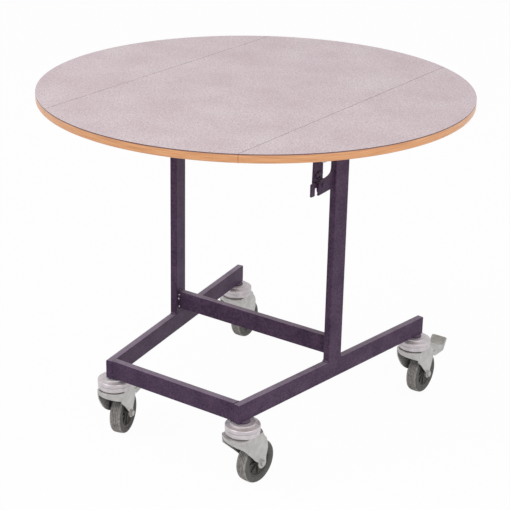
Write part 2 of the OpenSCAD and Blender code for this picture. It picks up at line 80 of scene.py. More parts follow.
lightSettings = {
    "sky": 0.62,
    "aim": (0, 0, 0.4),
    "softboxes": {
        "keySoftbox": {"place": (-1.6, -2.6, 3.4), "size": 2.4, "power": 62},
        "fillSoftbox": {"place": (3.0, -1.2, 1.6), "size": 2.0, "power": 34},
    },
}


def makeCamera(s):
    data = bpy.data.cameras.new("photoCamera")
    data.sensor_width = s["sensor"]
    data.lens = s["lens"]
    data.shift_x = s["shiftX"]
    data.shift_y = s["shiftY"]
    data.clip_end = s["clipEnd"]
    obj = bpy.data.objects.new("photoCamera", data)
    scene.collection.objects.link(obj)
    right = Vector(s["right"]).normalized()
    back = right.cross(Vector(s["up"])).normalized()
    turn = Matrix((right, back.cross(right), back)).transposed().to_4x4()
    obj.matrix_world = Matrix.Translation(s["place"]) @ turn
    scene.camera = obj


def addSoftbox(name, s, aim):
    data = bpy.data.lights.new(name, "AREA")
    data.size = s["size"]
    data.energy = s["power"]
    obj = bpy.data.objects.new(name, data)
    scene.collection.objects.link(obj)
    obj.location = s["place"]
    beam = Vector(aim) - Vector(s["place"])
    obj.rotation_euler = beam.to_track_quat("-Z", "Y").to_euler()


makeCamera(cameraSettings)
for name, softbox in lightSettings["softboxes"].items():
    addSoftbox(name, softbox, lightSettings["aim"])
scene.view_settings.view_transform = "Standard"
print("camera and lights placed")


# finishes

def toLinear(hexColour):
    out = []
    for i in (1, 3, 5):
        v = int(hexColour[i:i + 2], 16) / 255
        out.append(v / 12.92 if v <= 0.04045 else ((v + 0.055) / 1.055) ** 2.4)
    return (out[0], out[1], out[2], 1.0)


def addNode(tree, kind, settings=None, links=None, stops=()):
    # stops are a colour ramp's places and colours
    node = tree.nodes.new(kind)
    for key, value in (settings or {}).items():
        if isinstance(key, int) or key in node.inputs:
            node.inputs[key].default_value = value
        else:
            setattr(node, key, value)
    for key, source in (links or {}).items():
        tree.links.new(source, node.inputs[key])
    for i, (place, hexColour) in enumerate(stops):
        node.color_ramp.elements[i].position = place
        node.color_ramp.elements[i].color = toLinear(hexColour)
    return node


def newMaterial(name):
    mat = bpy.data.materials.new(name)
    mat.use_nodes = True
    tree = mat.node_tree
    tree.nodes.clear()
    shader = addNode(tree, "ShaderNodeBsdfPrincipled")
    addNode(tree, "ShaderNodeOutputMaterial", links={"Surface": shader.outputs[0]})
    place = addNode(tree, "ShaderNodeTexCoord").outputs["Object"]
    return mat, tree, shader, place


paintSettings = {
    "tones": ((0.38, "#3B2D41"), (0.64, "#564359")),
    "speckShare": 0.6,          # of the specks in the tone, against the clouds
    "cloudScale": 25,           # clouds about 40 mm across
    "speckScale": 220,          # specks about 4.5 mm across
    # painted top light with dust: the paler colour given to upward faces
    "dust": "#8A7D90",
    "dustSlope": (0.6, 0.95),   # the normal's z where the painted top light and dust begin, and where they are full
    "dustClouds": (0.2, 0.6),
    "dustCover": (0.55, 0.95),
    "glossTint": "#C9A8D2",
    "roughness": 0.45,
    "specular": 0.15,
    "peelScale": 700,           # orange peel about 1.4 mm across
    "peelDepth": 0.0004,
    "peelStrength": 0.12,
}


def powderCoatPlum(s):
    # powder coat on steel tube: semi-gloss with a faint orange peel; the gloss is tinted
    mat, tree, shader, place = newMaterial("powderCoatPlum")
    shader.inputs["Roughness"].default_value = s["roughness"]
    shader.inputs["Specular IOR Level"].default_value = s["specular"]
    shader.inputs["Specular Tint"].default_value = toLinear(s["glossTint"])
    cloud = addNode(tree, "ShaderNodeTexNoise", {"Scale": s["cloudScale"], "Detail": 3}, {"Vector": place})
    speck = addNode(tree, "ShaderNodeTexNoise", {"Scale": s["speckScale"], "Detail": 3}, {"Vector": place})
    tone = addNode(tree, "ShaderNodeMix", {"Factor": s["speckShare"]},
                   {2: cloud.outputs["Fac"], 3: speck.outputs["Fac"]})
    colour = addNode(tree, "ShaderNodeValToRGB", links={"Fac": tone.outputs[0]}, stops=s["tones"])
    # upward faces are painted paler in patches: painted light from above, with dust and scuffs in the patches
    normal = addNode(tree, "ShaderNodeTexCoord").outputs["Normal"]
    up = addNode(tree, "ShaderNodeSeparateXYZ", links={0: normal}).outputs["Z"]
    slope, clouds, cover = s["dustSlope"], s["dustClouds"], s["dustCover"]
    facing = addNode(tree, "ShaderNodeMapRange", {"From Min": slope[0], "From Max": slope[1]}, {"Value": up})
    patchy = addNode(tree, "ShaderNodeMapRange",
                     {"From Min": clouds[0], "From Max": clouds[1], "To Min": cover[0], "To Max": cover[1]},
                     {"Value": cloud.outputs["Fac"]})
    amount = addNode(tree, "ShaderNodeMath", {"operation": "MULTIPLY"},
                     {0: facing.outputs[0], 1: patchy.outputs[0]})
    litTops = addNode(tree, "ShaderNodeMix", {"data_type": "RGBA"}, {0: amount.outputs[0], 6: colour.outputs[0]})
    litTops.inputs[7].default_value = toLinear(s["dust"])
    tree.links.new(litTops.outputs[2], shader.inputs["Base Color"])
    peel = addNode(tree, "ShaderNodeTexNoise", {"Scale": s["peelScale"], "Detail": 1}, {"Vector": place})
    bump = addNode(tree, "ShaderNodeBump", {"Strength": s["peelStrength"], "Distance": s["peelDepth"]},
                   {"Height": peel.outputs["Fac"]})
    tree.links.new(bump.outputs[0], shader.inputs["Normal"])
    return mat


zincSettings = {
    "tones": ((0.3, "#A9A7A5"), (0.75, "#C4C2C0")),
    "roughness": (0.26, 0.40),
    "metallic": 0.65,
    "cloudScale": 60,           # spangle and handling marks about 16 mm across
}

collarSettings = {
    "tones": ((0.3, "#BDB6BA"), (0.75, "#D6CFD3")),
    "roughness": (0.32, 0.46),
    "metallic": 0.45,
    "cloudScale": 60,
}

# pale steel for the spatter lumps: a painted highlight
spatterHighlightSettings = {
    "tones": ((0.3, "#BDB7BC"), (0.75, "#DCD6DA")),
    "roughness": (0.34, 0.48),
    "metallic": 0.3,
    "cloudScale": 400,          # marks about 2.5 mm across
}

pedalSettings = {
    "tones": ((0.3, "#ABABA9"), (0.75, "#C3C3C1")),
    "roughness": (0.39, 0.53),
    "metallic": 0.4,
    "cloudScale": 60,
}


def zincPlate(name, s):
    # pressed steel, bright zinc plated: soft metal shine, slightly cloudy
    mat, tree, shader, place = newMaterial(name)
    shader.inputs["Metallic"].default_value = s["metallic"]
    cloud = addNode(tree, "ShaderNodeTexNoise", {"Scale": s["cloudScale"], "Detail": 4}, {"Vector": place})
    colour = addNode(tree, "ShaderNodeValToRGB", links={"Fac": cloud.outputs["Fac"]}, stops=s["tones"])
    tree.links.new(colour.outputs[0], shader.inputs["Base Color"])
    spread = addNode(tree, "ShaderNodeMapRange", {"To Min": s["roughness"][0], "To Max": s["roughness"][1]},
                     {"Value": cloud.outputs["Fac"]})
    tree.links.new(spread.outputs[0], shader.inputs["Roughness"])
    return mat


laminateSettings = {
    "print": ((0.38, "#B9A9AE"), (0.6, "#E4D4D7")),
    "speckScale": 330,          # specks about 3 mm across
    "speckRoughness": 0.7,
    "drift": ((0.3, "#F2ECEF"), (0.7, "#FFFFFF")),
    "driftScale": 9,            # patches about 110 mm across
    "edge": "#4A3430",
    "faceFrom": 0.5,            # the normal's z from which a face is the printed one
    "roughness": 0.5,
}


def mottledLaminate(s):
    # high pressure laminate, matt, printed with a fine stone-like mottle; the cut edge is brown
    mat, tree, shader, place = newMaterial("mottledLaminate")
    shader.inputs["Roughness"].default_value = s["roughness"]
    speck = addNode(tree, "ShaderNodeTexNoise",
                    {"Scale": s["speckScale"], "Detail": 4, "Roughness": s["speckRoughness"]},
                    {"Vector": place})
    printed = addNode(tree, "ShaderNodeValToRGB", links={"Fac": speck.outputs["Fac"]}, stops=s["print"])
    cloud = addNode(tree, "ShaderNodeTexNoise", {"Scale": s["driftScale"], "Detail": 3}, {"Vector": place})
    drift = addNode(tree, "ShaderNodeValToRGB", links={"Fac": cloud.outputs["Fac"]}, stops=s["drift"])
    both = addNode(tree, "ShaderNodeMix", {"data_type": "RGBA", "blend_type": "MULTIPLY"})
    both.inputs[0].default_value = 1
    tree.links.new(printed.outputs[0], both.inputs[6])
    tree.links.new(drift.outputs[0], both.inputs[7])
    normal = addNode(tree, "ShaderNodeTexCoord").outputs["Normal"]
    up = addNode(tree, "ShaderNodeSeparateXYZ", links={0: normal}).outputs["Z"]
    flat = addNode(tree, "ShaderNodeMath", {"operation": "GREATER_THAN", 1: s["faceFrom"]}, {0: up})
    edge = addNode(tree, "ShaderNodeMix", {"data_type": "RGBA"}, {0: flat.outputs[0]})
    edge.inputs[6].default_value = toLinear(s["edge"])
    tree.links.new(both.outputs[2], edge.inputs[7])
    tree.links.new(edge.outputs[2], shader.inputs["Base Color"])
    return mat


beechSettings = {
    "tones": ((0.3, "#BC7A4A"), (0.72, "#E8AF7C")),
    "roughness": 0.38,
    "coat": 0.2,
    "rimRadius": 0.45,          # m
    "grain": (16, 1, 800),      # lines about 1.2 mm apart across the strip and 60 mm long
    "grainDepth": 0.0003,
    "grainStrength": 0.1,
    "glueLine": "#6C4A56",
    "glueHeights": (0.7570, 0.7586),    # m, where the dark line begins and where it is full
    "glueCover": 0.85,
}


def lacqueredBeech(s):
    # solid wood strip bent round the edge, clear lacquer: long grain that follows the rim
    mat, tree, shader, place = newMaterial("lacqueredBeech")
    shader.inputs["Roughness"].default_value = s["roughness"]
    shader.inputs["Coat Weight"].default_value = s["coat"]
    parts = addNode(tree, "ShaderNodeSeparateXYZ", links={0: place})
    angle = addNode(tree, "ShaderNodeMath", {"operation": "ARCTAN2"},
                    {0: parts.outputs["Y"], 1: parts.outputs["X"]})
    run = addNode(tree, "ShaderNodeMath", {"operation": "MULTIPLY", 1: s["rimRadius"]}, {0: angle.outputs[0]})
    along = addNode(tree, "ShaderNodeCombineXYZ", links={"X": run.outputs[0], "Z": parts.outputs["Z"]})
    stretch = addNode(tree, "ShaderNodeMapping", {"Scale": s["grain"]}, {"Vector": along.outputs[0]})
    lines = addNode(tree, "ShaderNodeTexNoise", {"Scale": 1, "Detail": 3}, {"Vector": stretch.outputs[0]})
    colour = addNode(tree, "ShaderNodeValToRGB", links={"Fac": lines.outputs["Fac"]}, stops=s["tones"])
    # dark glue line under the laminate
    low, high = s["glueHeights"]
    amount = addNode(tree, "ShaderNodeMapRange",
                     {"From Min": low, "From Max": high, "To Max": s["glueCover"]},
                     {"Value": parts.outputs["Z"]})
    glued = addNode(tree, "ShaderNodeMix", {"data_type": "RGBA"},
                    {0: amount.outputs[0], 6: colour.outputs[0]})
    glued.inputs[7].default_value = toLinear(s["glueLine"])
    tree.links.new(glued.outputs[2], shader.inputs["Base Color"])
    bump = addNode(tree, "ShaderNodeBump", {"Strength": s["grainStrength"], "Distance": s["grainDepth"]},
                   {"Height": lines.outputs["Fac"]})
    tree.links.new(bump.outputs[0], shader.inputs["Normal"])
    return mat


plySettings = {
    "tones": ((0.3, "#A98660"), (0.7, "#C9A67C")),
    "figure": (60, 4, 300),     # 17 mm wide and 250 mm long
    "roughness": 0.65,
}


def birchPly(s):
    # plywood core, bare underneath: pale with long faint figure
    mat, tree, shader, place = newMaterial("birchPly")
    shader.inputs["Roughness"].default_value = s["roughness"]
    stretch = addNode(tree, "ShaderNodeMapping", {"Scale": s["figure"]}, {"Vector": place})
    figure = addNode(tree, "ShaderNodeTexNoise", {"Scale": 1, "Detail": 4}, {"Vector": stretch.outputs[0]})
    colour = addNode(tree, "ShaderNodeValToRGB", links={"Fac": figure.outputs["Fac"]}, stops=s["tones"])
    tree.links.new(colour.outputs[0], shader.inputs["Base Color"])
    return mat


treadSettings = {
    "tones": ((0.3, "#726F6C"), (0.7, "#A09D9A")),
    "roughness": (0.62, 0.8),
    "cloudScale": 160,          # patches about 6 mm across
}

sidewallSettings = {
    "tones": ((0.3, "#4A4846"), (0.7, "#5E5C5A")),
    "roughness": (0.62, 0.8),
    "cloudScale": 160,
}


def greyRubber(name, s):
    # thermoplastic rubber, moulded: almost matt, dusty where it rolls
    mat, tree, shader, place = newMaterial(name)
    cloud = addNode(tree, "ShaderNodeTexNoise", {"Scale": s["cloudScale"], "Detail": 4}, {"Vector": place})
    colour = addNode(tree, "ShaderNodeValToRGB", links={"Fac": cloud.outputs["Fac"]}, stops=s["tones"])
    tree.links.new(colour.outputs[0], shader.inputs["Base Color"])
    spread = addNode(tree, "ShaderNodeMapRange", {"To Min": s["roughness"][0], "To Max": s["roughness"][1]},
                     {"Value": cloud.outputs["Fac"]})
    tree.links.new(spread.outputs[0], shader.inputs["Roughness"])
    return mat


nylonSettings = {
    "tones": ((0.3, "#413F3E"), (0.7, "#504E4C")),
    "cloudScale": 120,          # patches about 8 mm across
    "roughness": 0.5,
    "specular": 0.35,
}


def blackNylon(s):
    # nylon hub, injection moulded: near black with a dull sheen
    mat, tree, shader, place = newMaterial("blackNylon")
    shader.inputs["Roughness"].default_value = s["roughness"]
    shader.inputs["Specular IOR Level"].default_value = s["specular"]
    cloud = addNode(tree, "ShaderNodeTexNoise", {"Scale": s["cloudScale"], "Detail": 2}, {"Vector": place})
    colour = addNode(tree, "ShaderNodeValToRGB", links={"Fac": cloud.outputs["Fac"]}, stops=s["tones"])
    tree.links.new(colour.outputs[0], shader.inputs["Base Color"])
    return mat


finishes = {
    "frame_paint": powderCoatPlum(paintSettings),
    "zinc_plate": zincPlate("brightZinc", zincSettings),
    "collar_zinc": zincPlate("satinZinc", collarSettings),
    "pedal_steel": zincPlate("dullZinc", pedalSettings),
    "spatter_highlight": zincPlate("paintedHighlightSteel", spatterHighlightSettings),
    "wood_lipping": lacqueredBeech(beechSettings),
    "core_board": birchPly(plySettings),
    "top_laminate": mottledLaminate(laminateSettings),
    "hub_plastic": blackNylon(nylonSettings),
    "tyre_rubber": greyRubber("wornTreadRubber", treadSettings),
    "sidewall_rubber": greyRubber("sidewallRubber", sidewallSettings),
}


def giveFinish(obj, slotName):
    obj.data.materials.clear()
    obj.data.materials.append(finishes[slotName])


slotOf = {part["node"]: part["material_slot"] for part in frame["record"]["subparts"]}
for nodeName, slotName in slotOf.items():
    giveFinish(nodes[nodeName], slotName)
print("finishes made")


# helpers for the modelled pieces

def selectOnly(*objs):
    bpy.ops.object.select_all(action="DESELECT")
    for obj in objs:
        obj.select_set(True)
    bpy.context.view_layer.objects.active = objs[0]


def applyAll(obj):
    selectOnly(obj)
    for modifier in list(obj.modifiers):
        bpy.ops.object.modifier_apply(modifier=modifier.name)


def joinInto(name, objs):
    selectOnly(*objs)
    if len(objs) > 1:
        bpy.ops.object.join()
    joined = bpy.context.object
    joined.name = name
    return joined


def settle(obj, body, slotName, *replaced, finish=None):
    # bakes the place into the mesh, then hands the piece to its body
    selectOnly(obj)
    bpy.ops.object.transform_apply(location=True, rotation=True, scale=True)
    giveFinish(obj, finish or slotName)
    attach(obj, body)
    if replaced:
        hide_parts(*replaced)
    return obj


def bodyOf(nodeName):
    return nodes[nodeName]["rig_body"]


def jointNamed(name):
    return next(j for j in frame["joints"] if j["name"] == name)


def mmBlock(outline, across, low, high):
    # outline in mm, extruded along x ("x": outline is y, z) or along y ("y": outline is x, z)
    bpy.ops.object.select_all(action="DESELECT")
    bpy.ops.mesh.primitive_circle_add(vertices=len(outline), radius=0.01, fill_type="NGON")
    obj = bpy.context.object
    for vertex, (a, b) in zip(obj.data.vertices, outline):
        place = (low, a, b) if across == "x" else (a, low, b)
        vertex.co = Vector(place) / 1000
    step = (high - low) / 1000
    bpy.ops.object.mode_set(mode="EDIT")
    bpy.ops.mesh.select_all(action="SELECT")
    bpy.ops.mesh.extrude_region_move(
        TRANSFORM_OT_translate={"value": (step, 0, 0) if across == "x" else (0, step, 0)})
    bpy.ops.mesh.select_all(action="SELECT")
    bpy.ops.mesh.normals_make_consistent(inside=False)
    bpy.ops.object.mode_set(mode="OBJECT")
    return obj


def mmRod(radius, low, high, place, axis="x", vertices=48):
    # rod along x or z, in mm; place is the other two coordinates
    bpy.ops.object.select_all(action="DESELECT")
    middle = (low + high) / 2
    if axis == "x":
        location, rotation = (middle, place[0], place[1]), (0, math.pi / 2, 0)
    else:
        location, rotation = (place[0], place[1], middle), (0, 0, 0)
    bpy.ops.mesh.primitive_cylinder_add(vertices=vertices, radius=radius / 1000, depth=(high - low) / 1000,
                                        location=Vector(location) / 1000, rotation=rotation)
    bpy.ops.object.transform_apply(location=True, rotation=True, scale=True)
    return bpy.context.object


def combine(obj, other, operation):
    cut = obj.modifiers.new("cut", "BOOLEAN")
    cut.object = other
    cut.operation = operation
    cut.solver = "EXACT"
    selectOnly(obj)
    bpy.ops.object.modifier_apply(modifier=cut.name)
    bpy.data.objects.remove(other)
    return obj


def copyOf(obj):
    twin = obj.copy()
    twin.data = obj.data.copy()
    scene.collection.objects.link(twin)
    return twin



def bevelEdges(obj, width, segments, angle):
    # width in mm, angle in degrees
    edge = obj.modifiers.new("edge", "BEVEL")
    edge.width = width / 1000
    edge.segments = segments
    edge.limit_method = "ANGLE"
    edge.angle_limit = math.radians(angle)
    applyAll(obj)


easeSettings = {
    "merge": 0.00002,       # m
    "flatWithin": 0.6,      # degrees between two faces that are made one
    "segments": 2,
}


def easeEdges(obj, width, angle=32):
    selectOnly(obj)
    bpy.ops.object.mode_set(mode="EDIT")
    bpy.ops.mesh.select_all(action="SELECT")
    bpy.ops.mesh.remove_doubles(threshold=easeSettings["merge"])
    bpy.ops.mesh.dissolve_limited(angle_limit=math.radians(easeSettings["flatWithin"]))
    bpy.ops.object.mode_set(mode="OBJECT")
    bevelEdges(obj, width, easeSettings["segments"], angle)
    bpy.ops.object.shade_smooth_by_angle(angle=math.radians(angle))


# pressed, cut and turned steel with its edges eased

easedEdges = {
    "front_right_collar": 0.5, "front_left_collar": 0.5, "rear_right_collar": 0.5, "rear_left_collar": 0.5,
    "top_bearers": 0.6, "pivot_bolts": 0.5, "pivot_bushes": 0.5,
    "stay_brackets": 0.4, "right_stay_arms": 0.4, "left_stay_arms": 0.4,
    "right_stay_struts": 0.4, "left_stay_struts": 0.4,
    "centre_hinge_plates": 0.3, "right_leaf_hinge_plates": 0.3, "left_leaf_hinge_plates": 0.3,
    "right_leaf_lugs": 0.4, "left_leaf_lugs": 0.4,
}


def bareCopy(nodeName):
    obj = copyOf(nodes[nodeName])
    obj.parent = None
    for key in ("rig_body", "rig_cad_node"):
        if key in obj:
            del obj[key]
    obj.name = nodeName + "Eased"
    selectOnly(obj)
    bpy.ops.object.mode_set(mode="EDIT")
    bpy.ops.mesh.select_all(action="SELECT")
    bpy.ops.mesh.remove_doubles(threshold=0.00001)
    bpy.ops.object.mode_set(mode="OBJECT")
    return obj


def easedCopy(nodeName, width):
    # width in mm
    obj = bareCopy(nodeName)
    easeEdges(obj, width)
    finish = "collar_zinc" if nodeName.endswith("_collar") else None
    settle(obj, bodyOf(nodeName), slotOf[nodeName], nodeName, finish=finish)


for nodeName, width in easedEdges.items():
    easedCopy(nodeName, width)
print("steel edges eased,", len(easedEdges), "pieces")


# caster forks and brake pedals

forkSettings = {  # mm: x along the axle and y to the rear from the swivel axis, z from the floor
    "top": 127.1,
    "skirt": 13.0,
    "rim": 42.0,
    "brakedRim": 39.0,
    "roundSteps": 96,
    "halfWidth": 30.0,
    "armOut": 20.0,
    "knee": 57.0,
    "wall": 2.5,
    "outerFoot": 20.0,      # lower ends of the two sections
    "innerFoot": 10.0,
    "trail": 41.0,
    "wheelRadius": 47.0,
    "endRadius": {"plain": 12.2, "broad": 9.6, "swept": 9.6},
    "endSteps": 14,
    "armSpan": (5, 60),
    # x, and how far below the crown's top the hem lies there
    "hem": [(-70, 9.0), (-30, 9.0), (-15, 9.8), (0, 11.4), (10, 13.4), (20, 16.6), (26, 19.4), (30, 22.0),
            (70, 24)],
    "brakedHem": [(-70, 11.4), (-30, 11.4), (-15, 12.0), (0, 13.2), (10, 14.6), (20, 17.0), (25, 18.8),
                  (30, 23.6), (70, 25)],
    "hemDeepest": 26.0,
    "hemCut": 60.0,         # how far down the hem's cutter reaches
    "lip": 5.0,
    "lipOut": 2.0,
    "cutFrom": -60,         # ends of the cutters, which run from front to rear
    "cutTo": 80,
    "stemHole": 6.1,
    "pedalPin": (50.0, 105.0),
    "pedalBoss": 7.0,
    "pinHole": 2.95,
    "edge": 0.8,
}

axleSettings = {  # mm
    "radius": 4.0,
    "half": 25.0,
    "spacer": 9.5,
    "spacerSpan": (14.6, 19.0),
    "washer": 8.0,
    "washerHigh": 1.0,
    "hex": 6.8,
    "headHigh": 3.6,
    "nutHigh": 4.4,
    "edge": 0.4,
}

pedalSizes = {  # mm, heights from the pedal's pin
    "web": [(61, 5.2), (84, -2.2), (113, -11.2), (116.5, -8), (118, -10), (113.5, -13.6), (84, -4.4),
            (61, 3)],
    "webHalf": 17.5,
    "webEdge": 0.3,
    "cheekEdge": 0.5,
}

casters = {
    "front_right": {"roll": "front_right_roll", "braked": None},
    "front_left": {"roll": "front_left_roll", "braked": "front_brake_pedal"},
    "rear_right": {"roll": "rear_right_roll", "braked": "brake_pedal"},
    "rear_left": {"roll": "rear_left_roll", "braked": None},
}


def casterTurn(joint):
    # x along the axle, y trailing, z up
    axis = Vector(joint["axis"]).normalized()
    side = Vector((0, 0, 1)).cross(axis)
    return Matrix((axis, side, Vector((0, 0, 1)))).transposed().to_4x4()


def placeOnCaster(obj, joint):
    # the piece is modelled with the swivel axis at the origin
    turn = casterTurn(joint)
    swivel = Vector(joint["pos_m"]) - turn.to_3x3() @ Vector((0, forkSettings["trail"] / 1000, 0))
    swivel.z = 0
    obj.matrix_world = Matrix.Translation(swivel) @ turn


def forkOutlines(s):
    # section of the pressing across the fork, outside and inside
    top, skirt, half, arm, knee = s["top"], s["top"] - s["skirt"], s["halfWidth"], s["armOut"], s["knee"]
    wall, outerFoot, innerFoot = s["wall"], s["outerFoot"], s["innerFoot"]
    outer = [(-arm, outerFoot), (-arm, knee), (-half, skirt), (-half, top), (half, top), (half, skirt),
             (arm, knee), (arm, outerFoot)]
    low, wide = arm - wall, half - wall
    inner = [(-low, innerFoot), (-low, knee), (-wide, skirt), (-wide, top - wall), (wide, top - wall),
             (wide, skirt), (low, knee), (low, innerFoot)]
    return outer, inner


def armFront(kind, s):
    # front edge of an arm from the crown down to the axle end, y then z
    top, r, end = s["top"], s["wheelRadius"], s["trail"] - s["endRadius"][kind]
    if kind == "plain":
        return [(-29, top), (-29, top - 20.5), (-24, top - 25), (0, r + 32), (18, r + 13.6),
                (end + 1, r + 4.5), (end, r)]
    if kind == "swept":
        return [(-24.5, top), (-24.5, top - 25), (-2, r + 37.2), (17, r + 19.4), (end + 1, r + 5.6),
                (end, r)]
    return [(-24.5, top), (-24.5, top - 22), (-20.5, r + 46.5), (-13, r + 33.5), (-4.5, r + 24.5),
            (7, r + 16), (18, r + 11.5), (end + 1, r + 4.5), (end, r)]


def armRear(kind, s):
    # rear edge from the axle end back up to the crown; a braked arm has a boss for the pedal's pin
    top, r, end = s["top"], s["wheelRadius"], s["trail"] + s["endRadius"][kind]
    rear = [(end, r), (end, r + 33)]
    if kind == "plain":
        rear += [(48, top - 29.8), (42, top - 17.8)]
    else:
        y, z = s["pedalPin"]
        boss = s["pedalBoss"]
        turns = [math.radians(d) for d in range(-80, 91, 20)]
        rear.append((y - 1, z - 10))
        rear += [(y + boss * math.cos(a), z + boss * math.sin(a)) for a in turns]
        rear += [(44, z + 8.5), (38, top - 13)]
    return rear + [(34, top - 8.8), (29, top)]


def forkArm(kind, low, high, s):
    trail, r, end, steps = s["trail"], s["wheelRadius"], s["endRadius"][kind], s["endSteps"]
    turns = [math.pi * i / steps for i in range(1, steps)]
    foot = [(trail - end * math.cos(a), r - end * math.sin(a)) for a in turns]
    return mmBlock(armFront(kind, s) + foot + armRear(kind, s), "x", low, high)


def sectionBlock(outline, longer, s):
    # each cutter is longer by its own amount, so that no two ends lie in one plane
    return mmBlock(outline, "y", s["cutFrom"] - longer, s["cutTo"] + longer)


def forkCrown(braked, s):
    # crown with its skirt, hollow and open to the rear
    outer, inner = forkOutlines(s)
    top, wall, deepest, steps = s["top"], s["wall"], s["hemDeepest"], s["roundSteps"]
    rim = s["brakedRim"] if braked else s["rim"]
    skirt = rim - s["lipOut"]
    depth = deepest + 1
    crown = mmRod(skirt, top - deepest, top - 1, (0, 0), "z", steps)
    combine(crown, mmRod(rim, top - s["lip"], top, (0, 0), "z", steps), "UNION")
    combine(crown, sectionBlock(outer, 0, s), "INTERSECT")
    hollow = mmRod(skirt - wall, top - depth, top - wall, (0, 0), "z", steps)
    reach = rim - wall - 0.01
    opening = [(0, top - depth), (rim + 1, top - depth), (rim + 1, top - wall), (0, top - wall)]
    combine(hollow, mmBlock(opening, "x", -reach, reach), "UNION")
    combine(hollow, sectionBlock(inner, 10, s), "INTERSECT")
    combine(crown, hollow, "DIFFERENCE")
    # the skirt's hem runs down towards the right arm
    hem = [(x, top - drop) for x, drop in s["brakedHem" if braked else "hem"]]
    low = top - s["hemCut"]
    combine(crown, sectionBlock([(hem[0][0], low)] + hem + [(hem[-1][0], low)], 2, s), "DIFFERENCE")
    return crown


def axleSet(s, arm, place):
    # axle, two spacers, washer, bolt head and nut
    small = [mmRod(s["radius"], -s["half"], s["half"], place)]
    near, far = s["spacerSpan"]
    small.append(mmRod(s["spacer"], -far, -near, place))
    small.append(mmRod(s["spacer"], near, far, place))
    washer = arm + s["washerHigh"]
    small.append(mmRod(s["washer"], arm, washer, place))
    small.append(mmRod(s["hex"], washer, washer + s["headHigh"], place, "x", 6))
    small.append(mmRod(s["hex"], -arm - s["nutHigh"], -arm, place, "x", 6))
    for item in small:
        easeEdges(item, s["edge"], 30)
    return small


def pressedFork(braked, s):
    outer, inner = forkOutlines(s)
    fork = forkCrown(braked, s)
    # arms, cut from their side outlines by the section of the pressing
    near, far = s["armSpan"]
    left = forkArm("broad" if braked else "plain", -far, -near, s)
    right = forkArm("swept" if braked else "plain", near, far, s)
    for arm in (left, right):
        combine(arm, sectionBlock(outer, 1, s), "INTERSECT")
        combine(arm, sectionBlock(inner, 11, s), "DIFFERENCE")
    combine(fork, left, "UNION")
    combine(fork, right, "UNION")
    combine(fork, mmRod(s["stemHole"], s["top"] - 6, s["top"] + 4, (0, 0), "z"), "DIFFERENCE")
    if braked:
        combine(fork, mmRod(s["pinHole"], -40, 40, s["pedalPin"]), "DIFFERENCE")
    easeEdges(fork, s["edge"], 30)
    # cut into triangles before the fork is turned into place
    bpy.ops.object.mode_set(mode="EDIT")
    bpy.ops.mesh.select_all(action="SELECT")
    bpy.ops.mesh.quads_convert_to_tris(quad_method="BEAUTY", ngon_method="BEAUTY")
    bpy.ops.object.mode_set(mode="OBJECT")
    small = axleSet(axleSettings, s["armOut"], (s["trail"], s["wheelRadius"]))
    return joinInto("forkToCopy", [fork] + small)


def pedalWeb(s, pinHeight):
    # web that joins the cheeks along their upper edges
    outline = [(y, pinHeight + z) for y, z in s["web"]]
    web = mmBlock(outline, "x", -s["webHalf"], s["webHalf"])
    easeEdges(web, s["webEdge"])
    return web


def fitPedal(caster, node, joint, s):
    web = pedalWeb(s, forkSettings["pedalPin"][1])
    placeOnCaster(web, joint)
    selectOnly(web)
    bpy.ops.object.transform_apply(location=True, rotation=True, scale=True)
    cheeks = bareCopy(node)
    easeEdges(cheeks, s["cheekEdge"])
    pedal = joinInto(caster + "Pedal", [cheeks, web])
    settle(pedal, bodyOf(node), "pedal_steel", node)


forksToCopy = {braked: pressedFork(braked, forkSettings) for braked in (False, True)}
for caster, facts in casters.items():
    joint = jointNamed(facts["roll"])
    fork = copyOf(forksToCopy[bool(facts["braked"])])
    fork.name = caster + "PressedFork"
    placeOnCaster(fork, joint)
    settle(fork, bodyOf(caster + "_fork"), "zinc_plate", caster + "_fork")
    if facts["braked"]:
        fitPedal(caster, facts["braked"], joint, pedalSizes)
for fork in forksToCopy.values():
    bpy.data.objects.remove(fork)
print("forks and pedals made")


# wheels

wheelSettings = {
    "tyreProfile": [  # across, from the axle, mm: one side from the bead to the crown of the tread
        (12.0, 34.0), (12.0, 35.0), (12.9, 36.0), (13.2, 38.0), (13.4, 41.0), (13.0, 43.2), (11.9, 45.1),
        (10.2, 46.2), (8.2, 46.7), (7.0, 46.8), (6.7, 46.4), (6.5, 45.5), (5.5, 45.5), (5.3, 46.4),
        (5.0, 46.9), (3.0, 47.0), (2.7, 46.5), (2.5, 45.6), (1.5, 45.6), (1.3, 46.5), (1.0, 47.0),
    ],
    "hubProfile": [  # one side, from the bore to the rim
        (14.0, 4.1), (14.2, 4.4), (14.2, 8.4), (13.8, 9.0), (8.0, 9.6), (6.2, 10.6), (6.0, 12.0), (6.0, 26.0),
        (6.4, 27.6), (7.6, 28.8), (10.8, 29.6), (11.4, 30.2), (11.4, 33.6), (11.0, 33.95),
    ],
    "treadHalf": 11.4,
    "ribs": 8,
    "ribAcross": 19.0,
    "ribThickness": 2.4,
    "ribLong": 20.8,
    "ribMiddle": 18.8,
    "ribEdge": 0.5,
    "tyreSteps": 96,
    "hubSteps": 48,
    "merge": 0.000005,      # m
    "smoothAngle": 38,
}


